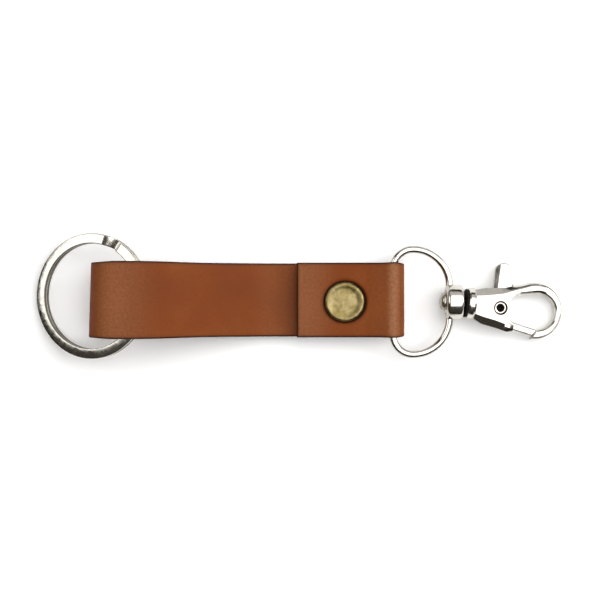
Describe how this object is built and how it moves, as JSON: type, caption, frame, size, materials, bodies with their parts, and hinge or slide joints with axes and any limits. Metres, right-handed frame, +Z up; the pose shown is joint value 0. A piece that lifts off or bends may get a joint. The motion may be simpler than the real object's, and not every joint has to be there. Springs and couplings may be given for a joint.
{
  "type": "key fob with swivel snap hook",
  "caption": "Leather strap key fob with a press-stud flap, a double-coil split ring at one end and a swivel snap hook with a sprung thumb gate at the other.",
  "frame": {"origin": "on the table under the middle of the whole object lying flat", "axes": "+X from the split ring to the snap hook, +Y across the strap, +Z up from the table"},
  "size_m": [0.1357, 0.032, 0.0177],
  "materials": {
    "leather": "satin",
    "antique_brass": "satin",
    "nickel_steel": "gloss",
    "nickel_cast": "gloss",
    "spring_steel": "satin"
  },
  "bodies": {
    "strap": {"strap_main": "leather", "strap_fold": "leather", "snap_stud": "antique_brass", "snap_post": "antique_brass"},
    "flap": {"strap_flap": "leather", "snap_cap": "antique_brass", "snap_cap_post": "antique_brass", "snap_socket": "antique_brass", "snap_socket_spring": "spring_steel"},
    "ring": {"split_ring": "nickel_steel"},
    "eye": {"swivel_eye": "nickel_cast"},
    "hook": {"swivel_rivet": "nickel_cast", "hook_body": "nickel_cast", "gate_pin": "nickel_steel", "gate_spring": "spring_steel"},
    "gate": {"gate_lever": "nickel_cast"}
  },
  "joints": [
    {"name": "flap_fold", "type": "hinge", "parent": "strap", "child": "flap", "pos_m": [0.0238, -0.001, 0.00533], "axis": [0, 1, 0], "range_deg": [0, 95], "deforming": ["strap_fold"]},
    {"name": "ring_swing", "type": "hinge", "parent": "strap", "child": "ring", "pos_m": [-0.04168, 0, 0.01184], "axis": [0, 1, 0], "range_deg": [-60, 105]},
    {"name": "eye_swing", "type": "hinge", "parent": "strap", "child": "eye", "pos_m": [0.0238, -0.0015, 0.00533], "axis": [0, 1, 0], "range_deg": [-140, 110]},
    {"name": "hook_swivel", "type": "hinge", "parent": "eye", "child": "hook", "pos_m": [0.03954, -0.0015, 0.00467], "axis": [0.9909, -0.0867, -0.1028], "continuous": true},
    {"name": "gate_pivot", "type": "hinge", "parent": "hook", "child": "gate", "pos_m": [0.05108, -0.00301, 0.00347], "axis": [0.1024, -0.009, 0.9947], "range_deg": [0, 26], "stiffness_Nm_per_rad": 0.02, "springref_deg": -17.19}
  ]
}
